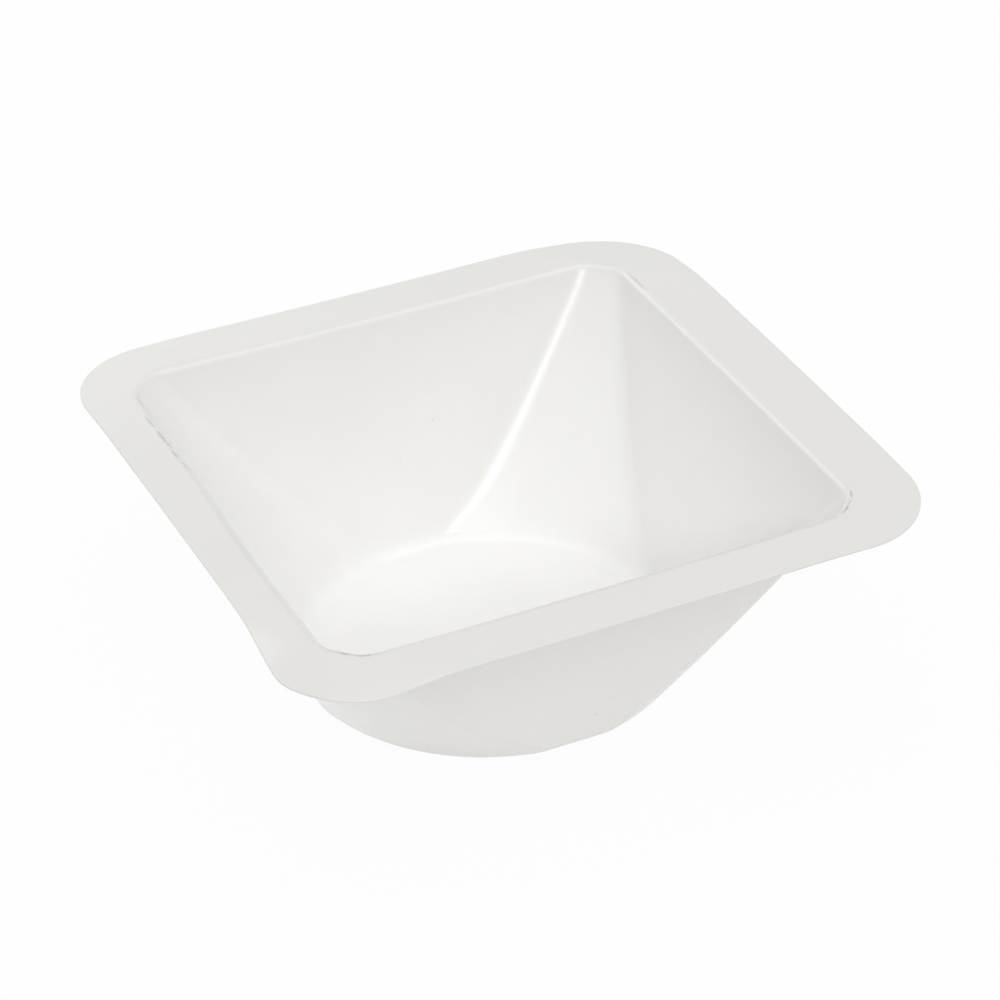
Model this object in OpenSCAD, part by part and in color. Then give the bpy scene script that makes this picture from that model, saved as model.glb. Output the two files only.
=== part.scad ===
// Weighing boat: a light square dish formed from one thin sheet of plastic.
// The bowl is a round cone cut by four flat walls. At the mouth the walls leave only the square's
// rounded corners to the cone; towards the base they leave it more, and they end where they touch the
// round, flat floor. A flat rim runs round the mouth. The sheet stretches thinner as it is formed, so
// the floor is thinner than the rim. A die then cuts the rim's outline through it.
// Millimetres, +Z up. The origin is on the base plane, under the middle of the rim.

/* [Rim] */
// Width of the square rim, outside to outside
rim_w = 85; // [70:1:140]
// Width of the flat band from the mouth to the outer edge
rim_band = 7.6; // [4:0.1:10]
// Radius of the rim's outer corners
rim_corner_r = 11.4; // [5:0.1:18]
// How far the bowl lies left of the rim's middle, because the die cut a little off centre
trim_shift = 1; // [-1.5:0.1:1.5]

/* [Bowl] */
// Height from the base to the top of an unworn rim
height = 31; // [15:0.5:50]
// Thickness of the sheet at the rim
sheet_t = 0.35; // [0.2:0.05:0.8]
// Thickness of the sheet at the floor
floor_t = 0.2; // [0.15:0.05:0.8]
// How far from the mouth's sharp corner, along each side, the cone cuts it off
corner_cut = 3.35; // [1:0.05:9]
// Diameter of the round floor, measured where the cone and the floor would meet with no bend
floor_d = 49.2; // [30:0.1:62]
// How far outside the floor's circle the walls would meet the floor, if they had no bend
wall_gap = 0.2; // [0:0.05:0.5]
// Radius of the creases between the cone and the flat walls, at the mouth
crease_r = 4.1; // [2:0.1:8]
// Radius of the same creases at the floor
crease_foot_r = 14; // [4:0.5:18]
// Inner radius of the bend between walls and floor
floor_bend_r = 2.4; // [1:0.1:6]
// Outer radius of the bend between rim and walls
lip_r = 1; // [0.8:0.1:2]

/* [Wear] */
// Droop of the rim's back right corner
droop_back_right = 1.3; // [0:0.1:2.5]
// Droop of the rim's back left corner
droop_back_left = 0.4; // [0:0.1:2.5]
// Droop of the rim's front left corner
droop_front_left = 1.5; // [0:0.1:2.5]
// Droop of the rim's front right corner
droop_front_right = 0.3; // [0:0.1:2.5]
// How far the left and right sides of the rim rise, and the front and back ones sink
side_bow = 0.42; // [0:0.01:1]
// How far the rim twists: two opposite corners sink by this, and the other two rise
rim_twist = 0.29; // [0:0.01:1]
// Depth of the dent in the left side of the rim, at its outer edge
dent_depth = 1.6; // [0:0.1:3]
// Distance of the dent from the front edge of the rim
dent_from_front = 12.7; // [6:0.1:40]
// Half the length of the dent along the rim
dent_reach = 6; // [2:0.1:12]
// How far the top of the left wall bulges out
bulge = 0.6; // [0:0.1:1.5]
// Distance of the middle of the bulge from the front edge of the rim
bulge_from_front = 28.4; // [20:0.1:60]

/* [Hidden] */

// Segments in each crease, across each corner's cone, along each side, across the rim, round the two
// bends and down the walls
crease_n = 4;
cone_n = 10;
side_n = 20;
rim_n = 2;
lip_n = 4;
bend_n = 5;
wall_n = 5;
// Facets round a whole circle of the die, which is cut as a true arc
die_n = 96;

rim_half = rim_w / 2;
mouth_half = rim_half - rim_band;
floor_r = floor_d / 2;
cone_r = norm([mouth_half, mouth_half - corner_cut]);
bowl_depth = height - floor_t;
rim_centre = rim_half - rim_corner_r;
// The creases stay small enough to leave some of the cone between them at the mouth
crease = min(crease_r, 0.95 * (sqrt(2) * mouth_half - cone_r) / (sqrt(2) - 1));
// How much further out the walls and the cone are for each millimetre up
wall_slope = (mouth_half - floor_r - wall_gap) / bowl_depth;
cone_slope = (cone_r - floor_r) / bowl_depth;
// Sheet left outside the rim for the die to cut off
trim_waste = 1;
// A corner droops between these shares of the way from mid side to the square's own corner
droop_from = 0.52;
droop_to = 0.92;
// Drop from the last row of the bowl to the start of the walls' bend
bend_run = 0.3;

function mix(a, b, t) = a + (b - a) * t;
function smooth(t) = let (s = max(0, min(1, t))) s * s * (3 - 2 * s);
function facing(a) = [cos(a), sin(a)];
function quarter_turn(p, k) = [[p[0], p[1]], [-p[1], p[0]], [-p[0], -p[1]], [p[1], -p[0]]][k];

// A station is a place on every outline: its quarter, its part of the quarter, and its share of the
// way along that part. The parts are a crease, the cone, the other crease, and the wall after them.
CREASE = 0;
CONE = 1;
LAST_CREASE = 2;
WALL = 3;
part_n = [crease_n, cone_n, crease_n, side_n];
stations = [for (k = [0:3], part = [0:3], j = [0:part_n[part] - 1]) [k, part, j / part_n[part]]];
station_n = len(stations);

// The bowl at a station, a share t of the way down: the point, the way it faces and how far the wall
// leans out there. The crease's own arc, of radius c, touches the wall and the cone. Its centre is c
// inside both, so it lies at distance w from the middle one way and x the other. The arc's radius
// grows towards the floor, where c_rise is its slope.
function bowl(s, t) = let (
    c = mix(crease, crease_foot_r, t * t * t),
    c_rise = 3 * t * t * (crease - crease_foot_r) / bowl_depth,
    w = mix(mouth_half, floor_r + wall_gap, t) - c,
    r = mix(cone_r, floor_r, t) - c,
    x = sqrt(max(0, r * r - w * w)),
    spread = atan2(x, w),
    first = s[1] == CREASE,
    last = s[1] == LAST_CREASE,
    way = first ? s[2] * spread : s[1] == CONE ? mix(spread, 90 - spread, s[2])
        : last ? mix(90 - spread, 90, s[2]) : 90,
    centre = first ? [w, x] : s[1] == CONE ? r * facing(way) : last ? [x, w] : [mix(x, -x, s[2]), w],
    from_wall = first ? way : last ? 90 - way : 0,
    share = s[1] == WALL ? 0 : s[1] == CONE ? 1
        : spread > 0.01 ? sin(from_wall) / sin(spread) : first ? s[2] : 1 - s[2],
    across = cone_slope - c_rise - (wall_slope - c_rise) * w / r,
    rise = s[1] == CONE ? cone_slope : s[1] == WALL ? wall_slope
        : c_rise + (wall_slope - c_rise) * cos(from_wall) + across * share)
    [quarter_turn(centre + c * facing(way), s[0]) - [trim_shift, 0], way + 90 * s[0],
        atan(rise)];

// Where the bend of the lip ends, as a share of the way down
function lip_t(s) = lip_r * (1 - sin(bowl(s, lip_r / 3 / bowl_depth)[2])) / bowl_depth;
// Where the rows of the bowl end. The walls' bend starts just below, and the cone's, which leans out
// more, lower still. From there down to its bend the sheet runs straight.
bend_t = 1 - (floor_bend_r * (1 - sin(atan(wall_slope))) + bend_run) / bowl_depth;

// Each row gives a point [x, y, z] on the top of the sheet, where z is 0 at the rim and negative below
// it, the way it faces, and the sheet's tilt, which is 0 where it lies flat and 90 - lean on the wall
function rim_row(s, t) = let (
    b = bowl(s, 0),
    reach = rim_centre + trim_waste,
    centre = s[1] == WALL ? [mix(reach, -reach, s[2]), reach] : [reach, reach],
    outer = quarter_turn(centre, s[0]) + rim_corner_r * facing(b[1]),
    inner = lip_row(s, 0)[0])
    [[mix(outer[0], inner[0], t), mix(outer[1], inner[1], t), 0], b[1], 0];
function lip_row(s, t) = let (
    b = bowl(s, lip_t(s)),
    tilt = t * (90 - b[2]),
    p = b[0] + facing(b[1]) * lip_r * (cos(b[2]) - sin(tilt)))
    [[p[0], p[1], lip_r * (cos(tilt) - 1)], b[1], tilt];
function wall_row(s, t) = let (
    down = mix(lip_t(s), bend_t, t * (2 - t)),
    b = bowl(s, down))
    [[b[0][0], b[0][1], -bowl_depth * down], b[1], 90 - b[2]];
function bend_row(s, t) = let (
    b = bowl(s, bend_t),
    tilt = (1 - t) * (90 - b[2]),
    run = bowl_depth * (1 - bend_t) - floor_bend_r * (1 - sin(b[2])),
    p = b[0] + facing(b[1]) * (floor_bend_r * (sin(tilt) - cos(b[2])) - run * tan(b[2])))
    [[p[0], p[1], -bowl_depth + floor_bend_r * (1 - cos(tilt))], b[1], tilt];

// Rows of the section at a station, from outside the rim, down the bowl, to the edge of the floor
function section(s) = concat(
    [for (i = [0:rim_n - 1]) rim_row(s, i / rim_n)],
    [for (i = [0:lip_n]) lip_row(s, i / lip_n)],
    [for (i = [1:wall_n]) wall_row(s, i / wall_n)],
    [for (i = [0:bend_n]) bend_row(s, i / bend_n)]);
sections = [for (s = stations) section(s)];
row_n = len(sections[0]);

// Wear lifts or lowers the rim at a place, and moves the left wall out. Both die out down the walls.
DROOPS = [droop_back_right, droop_back_left, droop_front_left, droop_front_right];
function corner_droop(p) = let (
    k = p[0] > 0 ? (p[1] > 0 ? 0 : 3) : (p[1] > 0 ? 1 : 2),
    out = (abs(p[0]) + abs(p[1])) / rim_half - 1)
    DROOPS[k] * smooth((out - droop_from) / (droop_to - droop_from));
function dent(p) = let (
    across = (-p[0] - mouth_half) / rim_band,
    along = (p[1] + rim_half - dent_from_front) / dent_reach)
    dent_depth * max(0, across) * exp(-along * along);
function lift(p) = side_bow * (p[0] * p[0] - p[1] * p[1]) / (rim_half * rim_half)
    - rim_twist * p[0] * p[1] / (rim_half * rim_half) - corner_droop(p) - dent(p);
function swell(p) = let (
    from_middle = p[1] + rim_half - bulge_from_front,
    along = from_middle / (mouth_half - abs(bulge_from_front - rim_half)),
    across = max(0, -p[0] / mouth_half))
    bulge * max(0, 1 - along * along) * across * across;

// A point of the sheet's top (side 0) or its underside (side 1), one thickness in along the tilt
function sheet_point(row, side) = let (
    f = facing(row[1]),
    up = 1 + row[0][2] / bowl_depth,
    p = row[0] - side * mix(floor_t, sheet_t, up)
        * [-f[0] * sin(row[2]), -f[1] * sin(row[2]), cos(row[2])])
    [p[0] - swell(row[0]) * up, p[1], height + p[2] + lift(row[0]) * up];
function ring(i, side) = [for (j = [0:station_n - 1]) sheet_point(sections[j][i], side)];

// The sheet is one closed skin: the rows of its top inwards to the middle of the floor, then the rows
// of its underside outwards from there, and a narrow band round the outside
module formed_sheet() {
    rings = concat([for (i = [0:row_n - 1]) ring(i, 0)], [for (i = [row_n - 1:-1:0]) ring(i, 1)]);
    ring_n = len(rings);
    top_middle = ring_n * station_n;
    under_middle = top_middle + 1;
    function at(i, j) = (i % ring_n) * station_n + j % station_n;
    polyhedron(
        points = concat([for (r = rings) each r], [[-trim_shift, 0, floor_t], [-trim_shift, 0, 0]]),
        faces = concat(
            [for (j = [0:station_n - 1]) [at(row_n - 1, j + 1), at(row_n - 1, j), top_middle]],
            [for (j = [0:station_n - 1]) [at(row_n, j), at(row_n, j + 1), under_middle]],
            [for (i = [0:ring_n - 1], j = [0:station_n - 1]) if (i != row_n - 1)
                [at(i, j), at(i + 1, j), at(i + 1, j + 1), at(i, j + 1)]]),
        convexity = 4);
}

// The rim's outline, drawn right through the sheet
module trim_die() {
    straight = 2 * rim_centre;
    translate([0, 0, -height / 2]) linear_extrude(height = 2 * height) {
        square([rim_w, straight], center = true);
        square([straight, rim_w], center = true);
        for (k = [0:3]) translate(quarter_turn([rim_centre, rim_centre], k))
            circle(r = rim_corner_r, $fn = die_n);
    }
}

module boat() {
    color([0.93, 0.93, 0.91]) intersection() {
        formed_sheet();
        trim_die();
    }
}

boat();
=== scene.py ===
"""Weighing boat: the formed sheet with its finish, on a plain studio stage."""
from math import pi, radians

import bpy
import numpy as np
from bpy.props import FloatProperty, FloatVectorProperty, PointerProperty
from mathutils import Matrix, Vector


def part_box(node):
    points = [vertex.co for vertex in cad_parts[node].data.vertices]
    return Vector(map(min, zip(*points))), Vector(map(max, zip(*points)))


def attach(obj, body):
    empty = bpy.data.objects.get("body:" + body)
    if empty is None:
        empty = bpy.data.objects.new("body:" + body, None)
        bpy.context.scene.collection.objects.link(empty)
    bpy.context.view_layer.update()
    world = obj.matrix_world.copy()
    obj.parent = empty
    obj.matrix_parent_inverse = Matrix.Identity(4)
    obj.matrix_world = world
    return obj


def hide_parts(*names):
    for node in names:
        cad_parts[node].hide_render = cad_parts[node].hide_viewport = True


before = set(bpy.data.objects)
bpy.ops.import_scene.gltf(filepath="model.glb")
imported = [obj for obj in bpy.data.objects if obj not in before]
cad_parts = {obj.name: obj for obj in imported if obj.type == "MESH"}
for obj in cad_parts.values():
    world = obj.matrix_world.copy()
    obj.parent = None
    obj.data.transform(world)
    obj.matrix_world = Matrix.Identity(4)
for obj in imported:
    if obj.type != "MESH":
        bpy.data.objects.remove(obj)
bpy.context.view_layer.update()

bl_info = {
    "name": "Weighing Boat",
    "version": (1, 0, 0),
    "blender": (4, 5, 0),
    "location": "View3D > Sidebar > Weighing Boat",
    "description": "Forms a thin plastic weighing boat with its finish, on a studio stage",
    "category": "Add Mesh",
}

LOW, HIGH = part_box("boat")
MM = 0.001


def length(name, description, default, low=0.0, high=0.5):
    """A length in metres that a user can change."""
    return FloatProperty(name=name, description=description, default=default, min=low, max=high,
                         unit="LENGTH", precision=5)


def share(name, description, default, high=1.0):
    """A plain number from 0 up that a user can change."""
    return FloatProperty(name=name, description=description, default=default, min=0.0, max=high,
                         precision=3)


def colour(name, description, default):
    """A linear colour that a user can change."""
    return FloatVectorProperty(name=name, description=description, default=default, size=3,
                               subtype="COLOR", min=0.0, max=1.0)


class BoatShape(bpy.types.PropertyGroup):
    """Sizes of the boat as it left the mould and the die."""

    rim_w: length("Rim width", "Width of the square rim, outside to outside", HIGH[0] - LOW[0])
    rim_band: length("Rim band", "Width of the flat band from the mouth to the outer edge",
                     7.6 * MM)
    rim_corner_r: length("Rim corner radius", "Radius of the rim's outer corners", 11.4 * MM)
    trim_shift: length("Trim shift", "How far the bowl lies left of the rim's middle", 1 * MM,
                       -0.01)
    height: length("Height", "From the base to the top of an unworn rim", 31 * MM)
    sheet_t: length("Rim thickness", "Thickness of the sheet at the rim", 0.35 * MM)
    floor_t: length("Floor thickness", "Thickness of the sheet at the floor", 0.2 * MM)
    corner_cut: length("Corner cut", "How far from the mouth's sharp corner the cone cuts it off",
                       3.35 * MM)
    floor_d: length("Floor diameter",
                    "Diameter of the round floor, where cone and floor would meet", 49.2 * MM)
    wall_gap: length("Wall gap",
                     "How far outside the floor's circle the walls would meet the floor", 0.2 * MM)
    crease_r: length("Crease radius", "Radius of the creases between cone and walls, at the mouth",
                     4.1 * MM)
    crease_foot_r: length("Crease foot radius", "Radius of the same creases at the floor", 14 * MM)
    floor_bend_r: length("Floor bend", "Inner radius of the bend between walls and floor", 2.4 * MM)
    lip_r: length("Lip bend", "Outer radius of the bend between rim and walls", 1 * MM)
    edge_r: length("Edge rounding", "Rounding of the cut edge", 0.07 * MM)


class BoatWear(bpy.types.PropertyGroup):
    """How far use has bent the sheet out of true."""

    back_right: length("Back right droop", "Droop of the rim's back right corner", 1.3 * MM)
    back_left: length("Back left droop", "Droop of the rim's back left corner", 0.4 * MM)
    front_left: length("Front left droop", "Droop of the rim's front left corner", 1.5 * MM)
    front_right: length("Front right droop", "Droop of the rim's front right corner", 0.3 * MM)
    side_bow: length("Side bow", "How far the left and right sides rise and the others sink",
                     0.42 * MM)
    rim_twist: length("Rim twist", "How far two opposite corners sink and the other two rise",
                      0.29 * MM)
    dent_depth: length("Dent depth", "Depth of the dent in the left side of the rim", 1.6 * MM)
    dent_from_front: length("Dent place", "Distance of the dent from the rim's front edge",
                            12.7 * MM)
    dent_reach: length("Dent reach", "Half the length of the dent along the rim", 6 * MM)
    bulge: length("Bulge", "How far the top of the left wall bulges out", 0.6 * MM)
    bulge_from_front: length("Bulge place", "Distance of the bulge from the rim's front edge",
                             28.4 * MM)


class BoatFinish(bpy.types.PropertyGroup):
    """Colours, gloss and marks of the sheet."""

    rim_colour: colour("Rim colour", "Off-white of the plastic where it is thickest",
                       (0.797, 0.789, 0.762))
    # Painted light: the floor colour is whiter than the rim's to paint the light that comes through
    # the thin floor. The outer colour does the same on the outer face, and leaves painted shade
    # under the rim.
    floor_colour: colour("Floor colour",
                         "Whiter plastic where forming has stretched the sheet most",
                         (0.967, 0.963, 0.951))
    outer_painted_light_colour: colour("Outer colour", "The same on the outer face, which looks warmer",
                         (0.985, 0.977, 0.944))
    mottle: share("Mottling", "How much the colour drifts from place to place", 0.02)
    roughness: share("Roughness", "Roughness of the moulded face", 0.21)
    worn_roughness: share("Worn roughness", "Roughness where the face is scratched dull", 0.55)
    grain: length("Grain height", "Height of the moulded face's fine grain", 0.0015 * MM, 0, 0.001)
    ripple: length("Ripple height", "Height of the faint ripples that stretching left", 0.012 * MM,
                   0, 0.001)
    # Painted shade: the scuff colour and strength also paint the shade along the left and front
    # lips, where they turn away, with some grime.
    scuff_and_shade_colour: colour("Scuff colour", "Grey of the rubbed marks round the mouth",
                         (0.50, 0.49, 0.46))
    scuff_and_shade_strength: share("Scuffs", "Strength of the rubbed marks round the mouth", 1.0)
    specks: share("Specks", "Strength of the small dirt specks", 0.4)


class BoatStage(bpy.types.PropertyGroup):
    """Floor, light and camera."""

    floor_size: length("Floor size", "Side of the square floor", 6.0, 1.0, 20.0)
    floor_colour: colour("Floor colour", "Colour of the floor", (0.87, 0.87, 0.87))
    floor_white: share("Floor white", "How much of the floor's own white hides its shading", 0.95)
    sky: share("Sky", "Strength of the even light from all round", 0.55, 5.0)
    key: share("Key light", "Power of the large light beside the camera, in watts", 4.2, 500.0)
    strip: share("Strip light", "Power of the narrow light that the creases mirror, in watts", 6.2,
                 500.0)
    side: share("Side light", "Power of the light on the right, in watts", 2.8, 500.0)
    top: share("Top light", "Power of the light overhead, in watts", 10.6, 500.0)
    back: share("Back light", "Power of the light behind on the left, in watts", 4.4, 500.0)
    low: share("Low light", "Power of the low light behind that the rim mirrors, in watts", 0.7,
               500.0)
    lens: FloatProperty(name="Lens", description="Focal length of the camera in millimetres",
                        default=148.71, min=20.0, max=300.0)


# ---------------------------------------------------------------------------- the formed sheet

# Every outline of the sheet has four quarters, and each quarter four parts: a crease, the cone of
# the corner, the other crease, and the flat wall after them. These are the steps along each part.
CREASE, CONE, LAST_CREASE, WALL = range(4)
STEPS = (12, 20, 12, 48)

# How far from the mouth the whole outer face counts as, in metres, so that a finish can tell it
OUTER_FACE = 1.0


def mix(a, b, t):
    """a at t = 0, b at t = 1, and a straight line between them."""
    return a + (b - a) * t


def ease(t):
    """0 up to t = 0, 1 from t = 1, and a smooth S of three t squared less two t cubed between."""
    t = np.clip(t, 0, 1)
    return t * t * (3 - 2 * t)


def outline_places():
    """The columns of the grid, as three arrays: the quarter, the part and the share along it."""
    part = np.repeat(np.arange(4), STEPS)
    along = np.concatenate([np.arange(n) / n for n in STEPS])
    return np.repeat(np.arange(4), part.size), np.tile(part, 4), np.tile(along, 4)


def turned(x, y, quarter):
    """The point (x, y) turned counterclockwise by a number of quarter turns."""
    c, s = np.array([1, 0, -1, 0])[quarter], np.array([0, 1, 0, -1])[quarter]
    return c * x - s * y, s * x + c * y


# How far above the start of the walls' bend the walls' own rows end
BEND_ROOM = 0.3 * MM
# A crease keeps this much of the room that a mouth's corner has for it
CREASE_ROOM = 0.95


class Bowl:
    """The bowl before wear: a round cone cut by four flat walls that end just outside the floor."""

    def __init__(self, shape, wear):
        self.shape, self.wear = shape, wear
        self.place = outline_places()
        self.rim_half = shape.rim_w / 2
        self.mouth_half = self.rim_half - shape.rim_band
        self.floor_r = shape.floor_d / 2
        self.depth = shape.height - shape.floor_t
        self.cone_r = np.hypot(self.mouth_half, self.mouth_half - shape.corner_cut)
        spare = (2 ** 0.5 * self.mouth_half - self.cone_r) / (2 ** 0.5 - 1)
        self.crease = min(shape.crease_r, CREASE_ROOM * spare)
        self.wall_foot = self.floor_r + shape.wall_gap
        self.wall_slope = (self.mouth_half - self.wall_foot) / self.depth
        self.cone_slope = (self.cone_r - self.floor_r) / self.depth

    def at(self, t):
        """Point, way it faces and lean of the bowl a share t of the way down.

        The wall lies at w and the cone at radius r from the middle, each less the crease's radius
        c, which grows as the cube of t. A crease is an arc about the point where those two lines
        cross, at x = root(r squared less w squared) along the wall. It turns from the wall's way to
        the cone's, and its slope goes from one to the other with the sine of the angle turned.
        """
        quarter, part, along = self.place
        foot = self.shape.crease_foot_r
        c = mix(self.crease, foot, t ** 3)
        widening = 3 * t ** 2 * (self.crease - foot) / self.depth
        w = mix(self.mouth_half, self.wall_foot, t) - c
        r = mix(self.cone_r, self.floor_r, t) - c
        x = np.sqrt(np.maximum(0, r * r - w * w))
        spread = np.arctan2(x, w)
        first, cone, last, wall = (part == k for k in (CREASE, CONE, LAST_CREASE, WALL))
        way = np.select([first, cone, last],
                        [along * spread, mix(spread, pi / 2 - spread, along),
                         mix(pi / 2 - spread, pi / 2, along)], pi / 2)
        from_wall = np.select([first, last], [way, pi / 2 - way], 0.0)
        turned_share = np.where(spread > 1e-4, np.sin(from_wall) / np.maximum(np.sin(spread), 1e-9),
                                np.where(first, along, 1 - along))
        wall_rise, cone_rise = self.wall_slope - widening, self.cone_slope - widening
        rise = np.select([wall, cone], [self.wall_slope, self.cone_slope],
                         widening + wall_rise * np.cos(from_wall)
                         + (cone_rise - wall_rise * w / r) * turned_share)
        px = np.select([first, cone, last], [w, r * np.cos(way), x], mix(x, -x, along))
        py = np.select([first, cone, last], [x, r * np.sin(way), w], w)
        px, py = turned(px + c * np.cos(way), py + c * np.sin(way), quarter)
        return px - self.shape.trim_shift, py, way + quarter * pi / 2, np.arctan(rise)

    def lip_end(self):
        """Share of the way down at which the bend of the lip ends."""
        lean = self.at(self.shape.lip_r / 3 / self.depth)[3]
        return self.shape.lip_r * (1 - np.sin(lean)) / self.depth

    def wall_end(self):
        """Share of the way down at which the walls' bend to the floor is about to start. The cone
        leans out more, so its own bend starts lower, and the sheet runs straight down to it."""
        lean = np.arctan(self.wall_slope)
        drop = self.shape.floor_bend_r * (1 - np.sin(lean)) + BEND_ROOM
        return 1 - drop / self.depth


# Each band of the section gives x, y, the height z below the rim's plane, the way it faces and the
# sheet's tilt, which is 0 where it lies flat. Its rows go outwards and up from the floor's middle.


def floor_band(bowl, t):
    """Straight from the middle of the floor at t = 0 to the start of the bend at t = 1."""
    x, y, z, way, tilt = bend_band(bowl, np.zeros((1, 1)))
    shift = -bowl.shape.trim_shift
    return mix(shift, x, t), mix(0, y, t), z + 0 * t, way + 0 * t, tilt + 0 * t


def bend_band(bowl, t):
    """An arc of the bend's radius, from flat at t = 0 to the wall's tilt at t = 1, set in from the
    end of the wall by the tangent of its lean for the straight run down to the arc."""
    x, y, way, lean = bowl.at(bowl.wall_end())
    radius = bowl.shape.floor_bend_r
    tilt = t * (pi / 2 - lean)
    run = bowl.depth * (1 - bowl.wall_end()) - radius * (1 - np.sin(lean))
    out = radius * (np.sin(tilt) - np.cos(lean)) - run * np.tan(lean)
    return (x + out * np.cos(way), y + out * np.sin(way),
            -bowl.depth + radius * (1 - np.cos(tilt)), way + 0 * tilt, tilt)


def wall_band(bowl, t):
    """The bowl itself, with the rows closer together towards the floor."""
    down = mix(bowl.lip_end(), bowl.wall_end(), (1 - t) * (1 + t))
    x, y, way, lean = bowl.at(down)
    return x, y, -bowl.depth * down, way, pi / 2 - lean


def lip_band(bowl, t):
    """An arc of the lip's radius, from the wall's tilt at t = 0 to flat at t = 1."""
    x, y, way, lean = bowl.at(bowl.lip_end())
    radius = bowl.shape.lip_r
    tilt = (1 - t) * (pi / 2 - lean)
    out = radius * (np.cos(lean) - np.sin(tilt))
    return (x + out * np.cos(way), y + out * np.sin(way), radius * (np.cos(tilt) - 1),
            way + 0 * tilt, tilt)


def rim_band(bowl, t):
    """Straight from the end of the lip at t = 0 to the outer edge at t = 1, whose corners are arcs
    that face the ways the mouth's corners do. The edge starts as far in as the swell moves it out,
    because the die cut it straight: a few rounds of moving it find that place."""
    x, y, z, way, tilt = lip_band(bowl, np.ones((1, 1)))
    quarter, part, along = bowl.place
    reach = bowl.rim_half - bowl.shape.rim_corner_r
    cx = np.where(part == WALL, mix(reach, -reach, along), reach)
    cx, cy = turned(cx, reach + 0 * cx, quarter)
    way = bowl.at(0.0)[2]
    ex = cx + bowl.shape.rim_corner_r * np.cos(way)
    ey = cy + bowl.shape.rim_corner_r * np.sin(way)
    cut = ex
    for _ in range(6):
        ex = cut + wall_swell(bowl, ex, ey)
    return mix(x, ex, t), mix(y, ey, t), z + 0 * t, way + 0 * t, tilt + 0 * t


def edge_band(bowl, turn):
    """The cut edge: an arc of its rounding over the top corner, the flat cut, and an arc under it.
    turn runs from 1, on top, to -1, underneath. Gives the outer edge set in by the rounding times
    1 less cosine, and the depth into the sheet's thickness as a share of it."""
    x, y, z, way, tilt = rim_band(bowl, np.ones((1, 1)))
    radius = bowl.shape.edge_r
    angle = turn * pi / 2
    inset = radius * (1 - np.cos(angle))
    edge_share = radius / bowl.shape.sheet_t
    into = np.where(turn > 0, edge_share * (1 - np.sin(angle)),
                    1 - edge_share * (1 + np.sin(angle)))
    return (x - inset * np.cos(way), y - inset * np.sin(way), z + 0 * inset, way + 0 * inset,
            tilt + 0 * inset), into


# A corner's droop starts this share of the way from the middle of a side to the square's own
# corner, and is whole this much further on
DROOP_FROM, DROOP_OVER = 0.52, 0.4


def rim_lift(bowl, x, y):
    """How far wear lifts the rim at (x, y): a saddle and a twist over the whole of it, less a droop
    that eases in towards each corner, less a dent shaped as a bell along the left side."""
    half, wear = bowl.rim_half, bowl.wear
    out = (np.abs(x) + np.abs(y)) / half - 1
    corner = np.where(x > 0, np.where(y > 0, wear.back_right, wear.front_right),
                      np.where(y > 0, wear.back_left, wear.front_left))
    droop = corner * ease((out - DROOP_FROM) / DROOP_OVER)
    across = np.maximum(0, (-x - bowl.mouth_half) / bowl.shape.rim_band)
    along = (y + half - wear.dent_from_front) / wear.dent_reach
    dent = wear.dent_depth * across * np.exp(-along * along)
    return (wear.side_bow * (x * x - y * y) - wear.rim_twist * x * y) / half ** 2 - droop - dent


def wall_swell(bowl, x, y):
    """How far wear moves the top of the left wall out: a parabola along it and a square across."""
    middle = bowl.wear.bulge_from_front - bowl.rim_half
    along = (y - middle) / (bowl.mouth_half - abs(middle))
    across = np.maximum(0, -x / bowl.mouth_half)
    return bowl.wear.bulge * np.maximum(0, 1 - along * along) * across ** 2


def skin(bowl, band, into):
    """Points of a band at a share into the sheet's thickness, which runs across the tilt and thins
    with depth. Wear's lift and swell die out in proportion to the depth."""
    x, y, z, way, tilt = band
    up = 1 + z / bowl.depth
    t = into * mix(bowl.shape.floor_t, bowl.shape.sheet_t, up)
    points = np.stack([x + t * np.cos(way) * np.sin(tilt) - wall_swell(bowl, x, y) * up,
                       y + t * np.sin(way) * np.sin(tilt),
                       bowl.shape.height + z - t * np.cos(tilt) + rim_lift(bowl, x, y) * up],
                      axis=-1)
    return points + np.array([0, 0, LOW[2]])


def column(values):
    """Values down a grid's rows, the same in all its columns."""
    return np.asarray(values, dtype=float)[:, None]


def even_steps(n):
    """n even steps from 0 that stop short of 1, where the next band starts."""
    return column(np.arange(n) / n)


# Rows of the floor, closer together towards its edge, and the turns of the cut edge's rows. The two
# middle ones bound the flat cut.
FLOOR_ROWS = (0.1, 0.22, 0.34, 0.46, 0.58, 0.7, 0.8, 0.88, 0.94, 0.98)
BEND_ROWS, WALL_ROWS, LIP_ROWS, RIM_ROWS = 12, 34, 12, 13
EDGE_TURNS = (1, 0.67, 0.33, 1e-9, -1e-9, -0.33, -0.67, -1)


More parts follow.
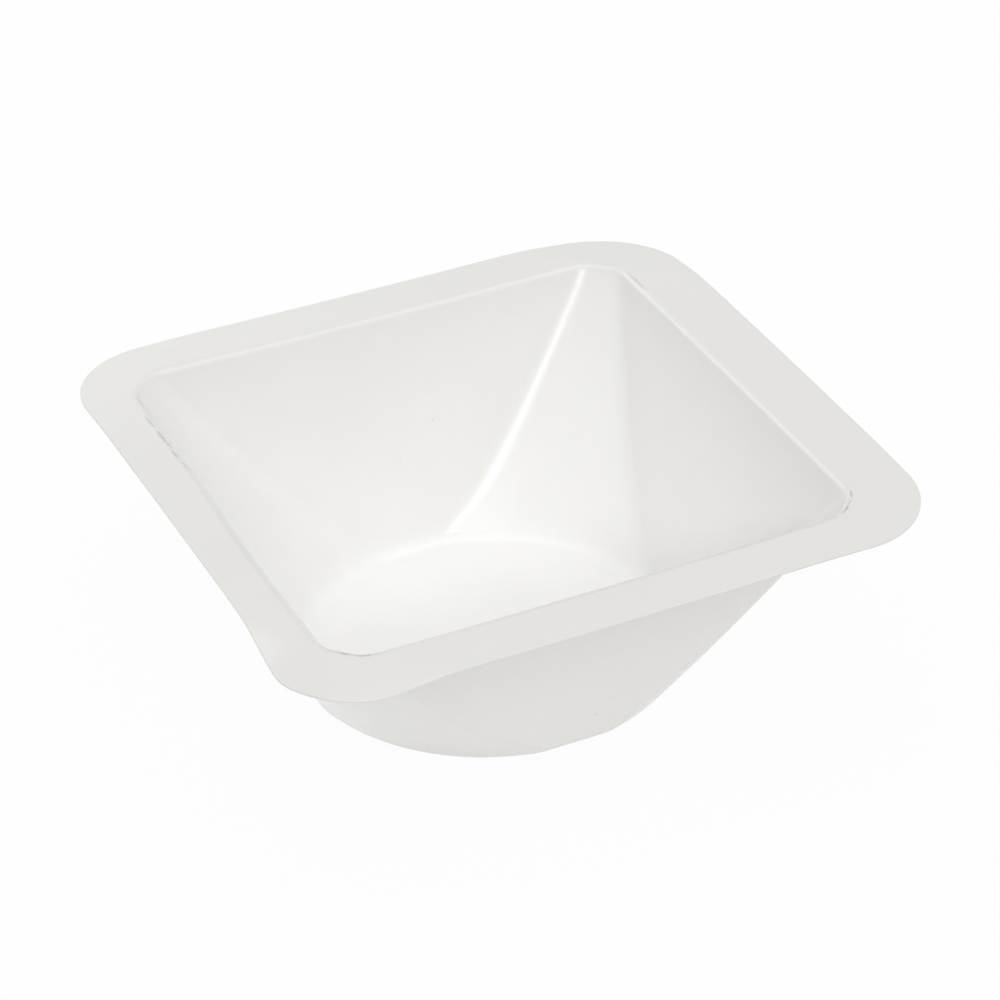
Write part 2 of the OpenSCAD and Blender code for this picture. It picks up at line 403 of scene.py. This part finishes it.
def sheet_grid(bowl):
    """Rows of the closed skin from the floor's middle up and out over the top of the sheet, round
    the cut edge and back underneath. With them, for each point, come how far up the section it is
    from the mouth, and its depth below the rim as a share of the whole."""
    rounding = bowl.shape.edge_r / bowl.shape.rim_band
    near_edge = [1 - 6 * rounding, 1 - 3 * rounding]
    rim_rows = np.append(np.arange(RIM_ROWS) / RIM_ROWS * near_edge[0], near_edge)
    bands = [floor_band(bowl, column(FLOOR_ROWS)),
             bend_band(bowl, column(np.arange(BEND_ROWS + 1) / BEND_ROWS)),
             wall_band(bowl, even_steps(WALL_ROWS)), lip_band(bowl, even_steps(LIP_ROWS)),
             rim_band(bowl, column(rim_rows))]
    edge_rows, edge_into = edge_band(bowl, column(EDGE_TURNS))
    top = np.concatenate([skin(bowl, b, 0.0) for b in bands])
    under = np.concatenate([skin(bowl, b, 1.0) for b in bands])[::-1]
    rows = np.concatenate([top, skin(bowl, edge_rows, edge_into), under])
    run = np.linalg.norm(np.diff(top, axis=0, prepend=top[:1]), axis=2).cumsum(axis=0)
    mouth = sum(len(b[2]) for b in bands[:4])
    from_mouth = np.full(rows.shape[:2], OUTER_FACE)
    from_mouth[:len(top)] = run - run[mouth]
    sunk = np.concatenate([-b[2] / bowl.depth + 0 * b[0] for b in bands])
    sunk = np.concatenate([sunk, 0 * edge_rows[0], sunk[::-1]])
    return rows, {"from_mouth": from_mouth, "sunk": sunk}


def skin_mesh(name, rows, centres, values):
    """A closed mesh from rows of points: four-sided faces between the rows and a fan round each of
    the two centres. values are attributes by name, each with a number for every point of the
    rows."""
    row_n, n = rows.shape[:2]
    at = np.arange(row_n * n).reshape(row_n, n)
    after = np.roll(at, -1, axis=1)
    quads = np.stack([at[:-1], at[1:], after[1:], after[:-1]], axis=-1).reshape(-1, 4)
    first, last = row_n * n, row_n * n + 1
    fans = np.concatenate([np.stack([at[0], after[0], np.full(n, first)], axis=-1),
                           np.stack([after[-1], at[-1], np.full(n, last)], axis=-1)])
    mesh = bpy.data.meshes.new(name)
    mesh.from_pydata(np.concatenate([rows.reshape(-1, 3), centres]).tolist(), [],
                     quads.tolist() + fans.tolist())
    for key, numbers in values.items():
        layer = mesh.attributes.new(key, "FLOAT", "POINT")
        layer.data.foreach_set("value", np.append(numbers.ravel(), numbers[[0, -1], 0]))
    mesh.polygons.foreach_set("use_smooth", np.ones(len(mesh.polygons), dtype=bool))
    mesh.update()
    mesh.validate()
    return mesh


# ---------------------------------------------------------------------------- the finish


class Nodes:
    """Short ways to build the nodes of a material or a world."""

    def __init__(self, owner):
        owner.use_nodes = True
        self.tree = owner.node_tree
        self.tree.nodes.clear()

    def add(self, kind, settings=(), **inputs):
        """A node with its settings and inputs, each a value or another node's output."""
        node = self.tree.nodes.new(kind)
        for key, value in dict(settings).items():
            setattr(node, key, value)
        for key, value in inputs.items():
            name = key.replace("_", " ")
            self.put(node.inputs[name] if name in node.inputs else node.inputs[int(key[1:])], value)
        return node

    def put(self, socket, value):
        """Links an output to a socket, or sets the socket's own value."""
        if isinstance(value, bpy.types.NodeSocket):
            self.tree.links.new(value, socket)
        else:
            socket.default_value = value

    def math(self, operation, a, b=0.0, c=0.0):
        """The result of a Math node."""
        return self.add("ShaderNodeMath", {"operation": operation}, i0=a, i1=b, i2=c).outputs[0]

    def vector(self, operation, a, b=(0.0, 0.0, 0.0)):
        """The result of a Vector Math node, which is a number where it measures something."""
        out = self.add("ShaderNodeVectorMath", {"operation": operation}, i0=a, i1=b).outputs
        return out["Value" if operation in ("DISTANCE", "LENGTH") else "Vector"]

    def ramp(self, value, low, high, to_low=0.0, to_high=1.0):
        """value from low to high as a smooth step from to_low to to_high."""
        return self.add("ShaderNodeMapRange", {"interpolation_type": "SMOOTHSTEP"}, Value=value,
                        From_Min=low, From_Max=high, To_Min=to_low, To_Max=to_high).outputs[0]

    def noise(self, vector, scale, detail=2.0, roughness=0.5):
        """Noise from 0 to 1 with that many features to a metre."""
        return self.add("ShaderNodeTexNoise", Vector=vector, Scale=scale, Detail=detail,
                        Roughness=roughness).outputs["Fac"]

    def attribute(self, name):
        """A number that the mesh holds for each of its points."""
        return self.add("ShaderNodeAttribute", {"attribute_name": name}).outputs["Fac"]

    def colours(self, share_of_b, a, b):
        """Colour a, b or a mix of them."""
        node = self.add("ShaderNodeMix", {"data_type": "RGBA"})
        self.put(node.inputs[0], share_of_b)
        self.put(node.inputs[6], a)
        self.put(node.inputs[7], b)
        return node.outputs[2]


def rgba(plain):
    """A colour with its alpha."""
    return (*plain, 1.0)


# Rubbed marks on the lip at the mouth's four corners, and at the end of the table the long faint
# ones along the left and front lips, which paint the shade where those lips turn away, with some
# grime.
# Each has the direction of its middle from the middle of the bowl and half its length, both in
# degrees, how far it is from the mouth's edge and half its width, both in millimetres, and its
# strength. Specks have a place and a radius in millimetres.
SCUFFS_AND_LIP_SHADE = ((146.3, 1.7, -0.10, 0.28, 0.65), (150.9, 2.1, -0.15, 0.30, 0.85),
          (153.6, 1.3, -0.30, 0.30, 0.6), (156.9, 1.7, -0.12, 0.26, 0.7),
          (161.3, 2.4, -0.30, 0.32, 0.4),
          (-135.2, 1.1, -0.30, 0.32, 0.9), (-132.3, 1.6, -0.28, 0.32, 1.0),
          (-133.5, 6.5, -0.35, 0.34, 0.45),
          (37.4, 3.0, -0.15, 0.26, 0.45),
          (-42.3, 1.0, -0.05, 0.18, 0.9), (-44.4, 0.8, 0.00, 0.14, 0.6),
          (-46.1, 1.4, -0.02, 0.20, 1.0), (-48.6, 1.6, -0.10, 0.14, 0.4),
          (180.0, 34.0, -0.20, 0.42, 0.18), (-180.0, 48.0, -0.20, 0.42, 0.20),
          (-90.0, 50.0, -0.20, 0.40, 0.24), (-62.0, 20.0, -0.20, 0.40, 0.34))
SPECKS = (((5.2, 30.0, 16.1), 0.25), ((-0.4, 28.6, 11.8), 0.2), ((1.1, -26.8, 5.6), 0.25),
          ((2.8, -27.7, 8.3), 0.22), ((-12.0, 4.0, 0.2), 0.12), ((8.5, -9.0, 0.2), 0.1),
          ((32.6, -31.2, 31.2), 0.2), ((-31.0, -39.0, 30.0), 0.12), ((20.0, 39.5, 31.0), 0.12))


# Sizes of the finish's patterns, as features to a metre
CLOUDS, FLECKS, PATCHES, GLOSS_DRIFT, SCRATCHES = 55.0, 420.0, 70.0, 300.0, 160.0
GRAINS, RIPPLES = 4200.0, 90.0
WOBBLES, DASHES, RAGS = 1500.0, 2600.0, 6000.0
# How far the wobble moves a mark's edge, round the bowl and across the lip
WOBBLE_DEGREES, WOBBLE_MM = 1.6, 0.35
# The painted light grows as these powers of the depth, and inside this share of it comes in at the
# floor
INNER_POWER, OUTER_POWER, FLOOR_SHARE = 0.28, 1.2, 0.2
# How dull the scratched places are, as a share of the worn roughness
DULLNESS = 0.12


def scuffs_and_lip_shade(n, place, shift_x):
    """Strength of the rubbed marks, and of the painted shade along the left and front lips, from 0
    to 1.
    On a map of degrees round the bowl and millimetres from the mouth's edge, each mark is an
    ellipse that fades outwards. Noise makes the map uneven and breaks the marks into dashes."""
    x, y, _ = n.add("ShaderNodeSeparateXYZ", Vector=place).outputs
    round_bowl = n.math("DEGREES", n.math("ARCTAN2", y, n.math("ADD", x, shift_x)))
    out = n.math("DIVIDE", n.attribute("from_mouth"), MM)
    wobble = n.math("SUBTRACT", n.noise(place, WOBBLES, 3.0), 0.5)
    spot = n.add("ShaderNodeCombineXYZ",
                 X=n.math("MULTIPLY_ADD", wobble, WOBBLE_DEGREES, round_bowl),
                 Y=n.math("MULTIPLY_ADD", wobble, WOBBLE_MM, out)).outputs[0]
    marks = 0.0
    for middle, half_length, from_edge, half_width, strength in SCUFFS_AND_LIP_SHADE:
        off = n.vector("SUBTRACT", spot, (middle, from_edge, 0.0))
        away = n.vector("LENGTH", n.vector("DIVIDE", off, (half_length, half_width, 1.0)))
        marks = n.math("MAXIMUM", marks, n.ramp(away, 0.35, 1.35, strength, 0.0))
    return n.math("MULTIPLY", marks, n.ramp(n.noise(place, DASHES), 0.3, 0.55, 0.55, 1.0))


def dirt_specks(n, place):
    """Strength of the specks: each a small ball in the sheet, a little uneven at its edge."""
    ragged = n.math("MULTIPLY", n.noise(place, RAGS), 0.2 * MM)
    dirt = 0.0
    for (x, y, z), radius in SPECKS:
        away = n.math("ADD", n.vector("DISTANCE", place, (x * MM, y * MM, z * MM)), ragged)
        dirt = n.math("MAXIMUM", dirt, n.ramp(away, radius * 0.2 * MM, radius * 1.7 * MM, 1.0, 0.0))
    return dirt


def formed_plastic(finish, shape):
    """Thin formed plastic: off-white, with light painted in as a whiter colour towards the floor
    where light comes through the thin sheet, mottled a little, with a soft gloss, fine grain, faint
    ripples, dull scratched places, and marks and specks, some of them painted shade along the near
    lips. Inside, the painted light comes in quickly below the rim, and the rest of it at the floor.
    Outside it comes in evenly, which leaves painted shade under the rim."""
    material = bpy.data.materials.new("formed_plastic")
    n = Nodes(material)
    place = n.add("ShaderNodeTexCoord").outputs["Object"]
    sunk = n.attribute("sunk")
    # Painted light: the colour whitens with depth to paint the light that comes through the thin
    # sheet.
    painted_light_share = n.math("MULTIPLY_ADD", n.math("POWER", sunk, INNER_POWER), 1 - FLOOR_SHARE,
                       n.ramp(sunk, 0.9, 1.0, 0.0, FLOOR_SHARE))
    outer = n.math("GREATER_THAN", n.attribute("from_mouth"), 0.5 * OUTER_FACE)
    cloudy = n.noise(place, CLOUDS, 3.0)
    inside = n.colours(painted_light_share, rgba(finish.rim_colour), rgba(finish.floor_colour))
    # Painted shade and light: the outer face is darker just under the rim and whiter towards the
    # base.
    outside = n.colours(n.math("POWER", sunk, OUTER_POWER), rgba(finish.rim_colour),
                        rgba(finish.outer_painted_light_colour))
    colour_here = n.colours(outer, inside, outside)
    drift = n.math("MULTIPLY_ADD", n.math("SUBTRACT", cloudy, 0.5), -2 * finish.mottle,
                   n.math("MULTIPLY_ADD", n.noise(place, FLECKS, 4.0), -finish.mottle,
                          1 + 0.5 * finish.mottle))
    shade = n.add("ShaderNodeMix", {"data_type": "RGBA", "blend_type": "MULTIPLY"})
    n.put(shade.inputs[0], 1.0)
    n.put(shade.inputs[6], colour_here)
    n.put(shade.inputs[7], n.add("ShaderNodeCombineColor", Red=drift, Green=drift,
                                 Blue=drift).outputs[0])
    # Rubbed marks at the mouth's corners, and painted shade with some grime along the left and
    # front lips.
    scuffed_and_shaded = n.math("MULTIPLY", scuffs_and_lip_shade(n, place, shape.trim_shift), finish.scuff_and_shade_strength)
    dirty = n.math("MULTIPLY", dirt_specks(n, place), finish.specks)
    marks_and_shade = n.math("MAXIMUM", scuffed_and_shaded, dirty)
    base = n.colours(marks_and_shade, shade.outputs[2], rgba(finish.scuff_and_shade_colour))

    scratches = n.add("ShaderNodeMapping", Vector=place, Rotation=(0.3, 0.2, 0.7),
                      Scale=(1.0, 14.0, 6.0)).outputs[0]
    dull = n.math("MULTIPLY", n.ramp(n.noise(scratches, SCRATCHES, 3.0, 0.6), 0.56, 0.76),
                  n.ramp(n.noise(place, PATCHES), 0.5, 0.7))
    face = n.math("MULTIPLY_ADD", n.noise(place, GLOSS_DRIFT, 3.0), 0.5 * finish.roughness,
                  0.75 * finish.roughness)
    worn = n.math("MAXIMUM", n.math("MULTIPLY", dull, DULLNESS), n.ramp(marks_and_shade, 0.4, 0.9))
    roughness = n.math("MULTIPLY_ADD", worn, finish.worn_roughness - finish.roughness, face)

    relief = n.math("MULTIPLY_ADD", n.noise(place, GRAINS), finish.grain,
                    n.math("MULTIPLY", n.noise(place, RIPPLES, 1.0, 0.4), finish.ripple))
    relief = n.math("MULTIPLY_ADD", marks_and_shade, 4 * finish.grain, relief)
    bump = n.add("ShaderNodeBump", Height=n.math("DIVIDE", relief, MM), Distance=MM).outputs[0]
    body = n.add("ShaderNodeBsdfPrincipled", Base_Color=base, Roughness=roughness, Normal=bump,
                 IOR=1.55)
    out = n.add("ShaderNodeOutputMaterial")
    n.put(out.inputs["Surface"], body.outputs[0])
    material.diffuse_color = rgba(finish.rim_colour)
    return material


class BOAT_OT_form_sheet(bpy.types.Operator):
    """Forms the boat's sheet, with its finish"""

    bl_idname = "boat.form_sheet"
    bl_label = "Form Sheet"

    def execute(self, context):
        scene = context.scene
        bowl = Bowl(scene.boat_shape, scene.boat_wear)
        rows, values = sheet_grid(bowl)
        x = -scene.boat_shape.trim_shift
        centres = np.array([[x, 0, LOW[2] + scene.boat_shape.floor_t], [x, 0, LOW[2]]])
        if not np.isfinite(rows).all():
            raise ValueError("These sizes don't make a bowl")
        sheet = bpy.data.objects.new("boat_sheet", skin_mesh("boat_sheet", rows, centres, values))
        scene.collection.objects.link(sheet)
        sheet.data.materials.append(formed_plastic(scene.boat_finish, scene.boat_shape))
        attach(sheet, "root")
        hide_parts("boat")
        return {"FINISHED"}


# ---------------------------------------------------------------------------- the stage


# The lights' azimuth and elevation in degrees, their distance from the origin, width and height in
# metres, and whether a gloss mirrors them
LIGHTS = {"key": (-25, 38, 2.5, 1.0, 1.0, False), "side": (60, 35, 2.5, 1.0, 1.0, False),
          "strip": (-19, 32, 2.0, 1.32, 0.24, True), "top": (0, 89, 2.0, 2.0, 2.0, True),
          "back": (-152, 32, 2.5, 0.8, 1.1, True), "low": (166, 24, 2.5, 0.7, 0.6, True)}
# What they are turned towards
MIDDLE = (0, 0, 0.02)
# The camera's place in metres and its turn in degrees
CAMERA_PLACE = (-0.17935, -0.40049, 0.30831)
CAMERA_TURN = (56.880, 1.521, -25.251)


def soft_light(name, place, aim, size, watts, mirrored):
    """A soft light of that width and height at place, turned towards aim. Where it isn't mirrored,
    a gloss doesn't show it."""
    light = bpy.data.lights.new(name, "AREA")
    light.shape = "RECTANGLE"
    light.size, light.size_y = size
    light.energy = watts
    lamp = bpy.data.objects.new(name, light)
    lamp.location = place
    lamp.rotation_euler = (Vector(aim) - Vector(place)).to_track_quat("-Z", "Y").to_euler()
    lamp.visible_camera = False
    lamp.visible_glossy = mirrored
    bpy.context.scene.collection.objects.link(lamp)


def around(azimuth, elevation, distance):
    """A place that far from the origin. Azimuth 0 is in front and 90 on the right."""
    a, e = radians(azimuth), radians(elevation)
    return Vector((np.sin(a) * np.cos(e), -np.cos(a) * np.cos(e), np.sin(e))) * distance


def seen_directly(n):
    """1 for the rays of the camera, of a mirrored view and of a view through glass, and else 0."""
    path = n.add("ShaderNodeLightPath").outputs
    return n.math("MAXIMUM", path["Is Camera Ray"],
                  n.math("MAXIMUM", path["Is Glossy Ray"], path["Is Transmission Ray"]))


def stage_floor(stage):
    """A flat square floor just under the boat, white to the camera but for its soft shadow."""
    half, low = stage.floor_size / 2, LOW[2] - 0.1 * MM
    grid = np.array([[-half, -half, low], [half, -half, low], [half, half, low],
                     [-half, half, low]])
    mesh = bpy.data.meshes.new("floor")
    mesh.from_pydata(grid.tolist(), [], [[0, 1, 2, 3]])
    floor = bpy.data.objects.new("floor", mesh)
    material = bpy.data.materials.new("floor_white")
    n = Nodes(material)
    matt = n.add("ShaderNodeBsdfDiffuse", Color=rgba(stage.floor_colour))
    white = n.add("ShaderNodeEmission", Color=(1, 1, 1, 1), Strength=1.0)
    both = n.add("ShaderNodeMixShader")
    n.put(both.inputs[0], n.math("MULTIPLY", seen_directly(n), stage.floor_white))
    n.put(both.inputs[1], matt.outputs[0])
    n.put(both.inputs[2], white.outputs[0])
    out = n.add("ShaderNodeOutputMaterial")
    n.put(out.inputs["Surface"], both.outputs[0])
    mesh.materials.append(material)
    bpy.context.scene.collection.objects.link(floor)


def stage_sky(strength):
    """An even light from all round, behind a white background."""
    world = bpy.data.worlds.new("sky")
    bpy.context.scene.world = world
    n = Nodes(world)
    light = n.add("ShaderNodeBackground", Color=(1, 1, 1, 1),
                  Strength=n.math("MAXIMUM", seen_directly(n), strength))
    out = n.add("ShaderNodeOutputWorld")
    n.put(out.inputs["Surface"], light.outputs[0])


class BOAT_OT_set_stage(bpy.types.Operator):
    """Sets the floor, the lights and the camera"""

    bl_idname = "boat.set_stage"
    bl_label = "Set Stage"

    def execute(self, context):
        scene = context.scene
        stage = scene.boat_stage
        stage_floor(stage)
        stage_sky(stage.sky)
        for name, (azimuth, elevation, distance, width, height, mirrored) in LIGHTS.items():
            soft_light(name, around(azimuth, elevation, distance), MIDDLE, (width, height),
                       getattr(stage, name), mirrored)
        lens = bpy.data.cameras.new("camera")
        lens.lens = stage.lens
        lens.sensor_width = 36.0
        lens.clip_start, lens.clip_end = 0.01, 30.0
        camera = bpy.data.objects.new("camera", lens)
        camera.location = CAMERA_PLACE
        camera.rotation_euler = [radians(angle) for angle in CAMERA_TURN]
        scene.collection.objects.link(camera)
        scene.camera = camera
        scene.view_settings.view_transform = "Standard"
        return {"FINISHED"}


class BOAT_PT_sidebar(bpy.types.Panel):
    """The boat's steps and sizes in the sidebar"""

    bl_idname = "BOAT_PT_sidebar"
    bl_label = "Weighing Boat"
    bl_space_type = "VIEW_3D"
    bl_region_type = "UI"
    bl_category = "Weighing Boat"

    def draw(self, context):
        scene = context.scene
        steps = ((BOAT_OT_form_sheet, (scene.boat_shape, scene.boat_wear, scene.boat_finish)),
                 (BOAT_OT_set_stage, (scene.boat_stage,)))
        for operator, groups in steps:
            box = self.layout.box()
            box.operator(operator.bl_idname)
            for group in groups:
                for key in group.__annotations__:
                    box.prop(group, key)


GROUPS = {"boat_shape": BoatShape, "boat_wear": BoatWear, "boat_finish": BoatFinish,
          "boat_stage": BoatStage}
CLASSES = (*GROUPS.values(), BOAT_OT_form_sheet, BOAT_OT_set_stage, BOAT_PT_sidebar)


def register():
    for cls in CLASSES:
        bpy.utils.register_class(cls)
    for key, group in GROUPS.items():
        setattr(bpy.types.Scene, key, PointerProperty(type=group))


def unregister():
    for key in GROUPS:
        delattr(bpy.types.Scene, key)
    for cls in reversed(CLASSES):
        bpy.utils.unregister_class(cls)


def main():
    """Makes the boat and its stage."""
    register()
    bpy.ops.boat.form_sheet()
    bpy.ops.boat.set_stage()


if __name__ == "__main__":
    main()
